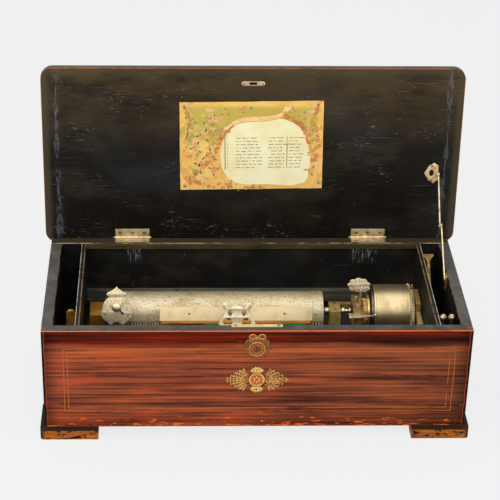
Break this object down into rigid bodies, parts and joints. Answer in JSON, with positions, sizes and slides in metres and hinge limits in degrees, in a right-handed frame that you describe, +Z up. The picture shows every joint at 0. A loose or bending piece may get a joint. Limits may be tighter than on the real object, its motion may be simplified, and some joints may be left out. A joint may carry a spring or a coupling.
{
  "type": "cylinder music box",
  "caption": "Wooden music box with a hinged lid, a spring barrel and pinned cylinder on one axis, a steel comb, a zither roll and lever winding.",
  "frame": {"origin": "centre of the object's bounding box at rest, lid open, on the surface that the four feet stand on", "axes": "+X to the right along the case as seen from the front, +Y from the front to the hinges, +Z up"},
  "size_m": [0.5766, 0.286, 0.4202],
  "materials": {
    "stained_front": "red-stained, streaked and varnished",
    "black_wood": "worn black lacquer",
    "rim_wood": "rubbed grey-black lacquer",
    "bare_wood": "bare with remnants of black",
    "rail_wood": "dull grey-green paint",
    "printed_card": "printed paper card",
    "brass": "tarnished",
    "gilt_bronze": "darkened gilt",
    "nickel": "worn nickel plate",
    "cylinder_plate": "plated, dulled",
    "steel": "tempered",
    "blackened_steel": "blackened",
    "orange_paper": "waxed paper",
    "bronzed_iron": "bronze paint"
  },
  "bodies": {
    "case": {"front_board": "stained_front", "back_board": "black_wood", "left_board": "black_wood", "right_board": "black_wood", "bottom_board": "rail_wood", "foot_front_left": "bare_wood", "foot_front_right": "bare_wood", "foot_back_left": "bare_wood", "foot_back_right": "bare_wood", "left_partition": "rim_wood", "right_partition": "rim_wood", "glass_ledge": "rim_wood", "rear_rail": "rail_wood", "bed_frame": "rail_wood", "bedplate": "bronzed_iron", "hinge_case_left": "brass", "hinge_case_right": "brass", "stay_plate": "brass", "lock_case": "brass", "escutcheon": "brass", "left_bearing": "gilt_bronze", "right_bearing": "brass", "comb": "steel", "comb_base": "brass", "barrel_cock": "brass", "governor_frame": "brass", "tune_plate": "nickel", "control_plate": "nickel", "zither_base": "nickel", "control_bracket": "brass"},
    "lid": {"lid_panel": "black_wood", "tune_card": "printed_card", "keeper_plate": "brass", "hinge_lid_left": "brass", "hinge_lid_right": "brass", "stay_bracket": "brass"},
    "stay_upper": {"stay_upper_arm": "nickel"},
    "stay_lower": {"stay_lower_arm": "nickel"},
    "bolt": {"lock_bolt": "brass"},
    "drive_line": {"cylinder_arbor": "steel", "spring_arbor": "steel", "drive_wheel": "brass"},
    "tune_cylinder": {"cylinder": "cylinder_plate"},
    "governor_wheel": {"worm_wheel": "brass"},
    "governor_screw": {"endless_screw": "steel", "governor_fan": "brass"},
    "barrel": {"spring_barrel": "brass", "barrel_cover": "blackened_steel", "mainspring": "steel", "ratchet_ring": "brass"},
    "holding_pawl": {"click": "steel"},
    "winder": {"winding_lever": "nickel"},
    "pointer": {"tune_pointer": "nickel"},
    "zither": {"zither_bracket": "nickel", "zither_plate": "nickel", "zither_roll": "orange_paper"},
    "fan_stop": {"stop_lever": "nickel"},
    "start_hand": {"start_lever": "brass"},
    "repeat_hand": {"repeat_lever": "nickel"},
    "change_hand": {"change_lever": "gilt_bronze"}
  },
  "joints": [
    {"name": "lid_hinge", "type": "hinge", "parent": "case", "child": "lid", "pos_m": [0, 0.10817, 0.16715], "axis": [-1, 0, 0], "range_deg": [-93.5, 0]},
    {"name": "stay_upper_turn", "type": "hinge", "parent": "lid", "child": "stay_upper", "pos_m": [0, 0.10849, 0.26732], "axis": [1, 0, 0], "range_deg": [0, 33.81]},
    {"name": "stay_lower_turn", "type": "hinge", "parent": "case", "child": "stay_lower", "pos_m": [0, 0.00397, 0.1615], "axis": [1, 0, 0], "range_deg": [-42.42, 0]},
    {"name": "bolt_throw", "type": "slide", "parent": "case", "child": "bolt", "axis": [0, 0, 1], "range_m": [0, 0.006]},
    {"name": "cylinder_spin", "type": "hinge", "parent": "case", "child": "drive_line", "pos_m": [0, 0.01297, 0.104], "axis": [1, 0, 0], "continuous": true},
    {"name": "cylinder_shift", "type": "slide", "parent": "drive_line", "child": "tune_cylinder", "axis": [1, 0, 0], "range_m": [-0.0014, 0.00175]},
    {"name": "tune_pointer_turn", "type": "hinge", "parent": "case", "child": "pointer", "pos_m": [-0.1857, -0.02703, 0.1352], "axis": [0, -0.9063, 0.4226], "range_deg": [-162, 198]},
    {"name": "governor_wheel_spin", "type": "hinge", "parent": "case", "child": "governor_wheel", "pos_m": [0, -0.00628, 0.104], "axis": [1, 0, 0], "continuous": true},
    {"name": "fan_spin", "type": "hinge", "parent": "case", "child": "governor_screw", "pos_m": [0.144, -0.01568, 0.104], "axis": [0, 0, 1], "continuous": true},
    {"name": "barrel_wind", "type": "hinge", "parent": "case", "child": "barrel", "pos_m": [0, 0.01297, 0.104], "axis": [1, 0, 0], "continuous": true},
    {"name": "click_lift", "type": "hinge", "parent": "case", "child": "holding_pawl", "pos_m": [0, -0.02229, 0.0883], "axis": [-1, 0, 0], "range_deg": [0, 12], "stiffness_Nm_per_rad": 0.02, "springref_deg": -17.19},
    {"name": "winding_swing", "type": "hinge", "parent": "case", "child": "winder", "pos_m": [0, 0.01297, 0.104], "axis": [1, 0, 0], "range_deg": [0, 96]},
    {"name": "zither_turn", "type": "hinge", "parent": "case", "child": "zither", "pos_m": [0, -0.03403, 0.1075], "axis": [1, 0, 0], "range_deg": [0, 30]},
    {"name": "start_lever_turn", "type": "hinge", "parent": "case", "child": "start_hand", "pos_m": [0.2462, -0.09403, 0.076], "axis": [1, 0, 0], "range_deg": [0, 10]},
    {"name": "stop_lever_turn", "type": "hinge", "parent": "case", "child": "fan_stop", "pos_m": [0.1445, -0.02878, 0.1208], "axis": [0, 0, 1], "range_deg": [0, 12]},
    {"name": "repeat_lever_turn", "type": "hinge", "parent": "case", "child": "repeat_hand", "pos_m": [0.2572, -0.09403, 0.076], "axis": [1, 0, 0], "range_deg": [0, 10]},
    {"name": "change_lever_turn", "type": "hinge", "parent": "case", "child": "change_hand", "pos_m": [-0.2449, -0.06703, 0.04], "axis": [1, 0, 0], "range_deg": [0, 12]}
  ],
  "couplings": [
    {"joint": "stay_upper_turn", "follows": "lid_hinge", "ratio": -0.36158},
    {"joint": "stay_lower_turn", "follows": "lid_hinge", "ratio": 0.4536},
    {"joint": "tune_pointer_turn", "follows": "cylinder_shift", "rad_per_m": 1795.2},
    {"joint": "governor_wheel_spin", "follows": "cylinder_spin", "ratio": -6},
    {"joint": "fan_spin", "follows": "cylinder_spin", "ratio": -180},
    {"joint": "stop_lever_turn", "follows": "start_lever_turn", "ratio": 1.2}
  ]
}
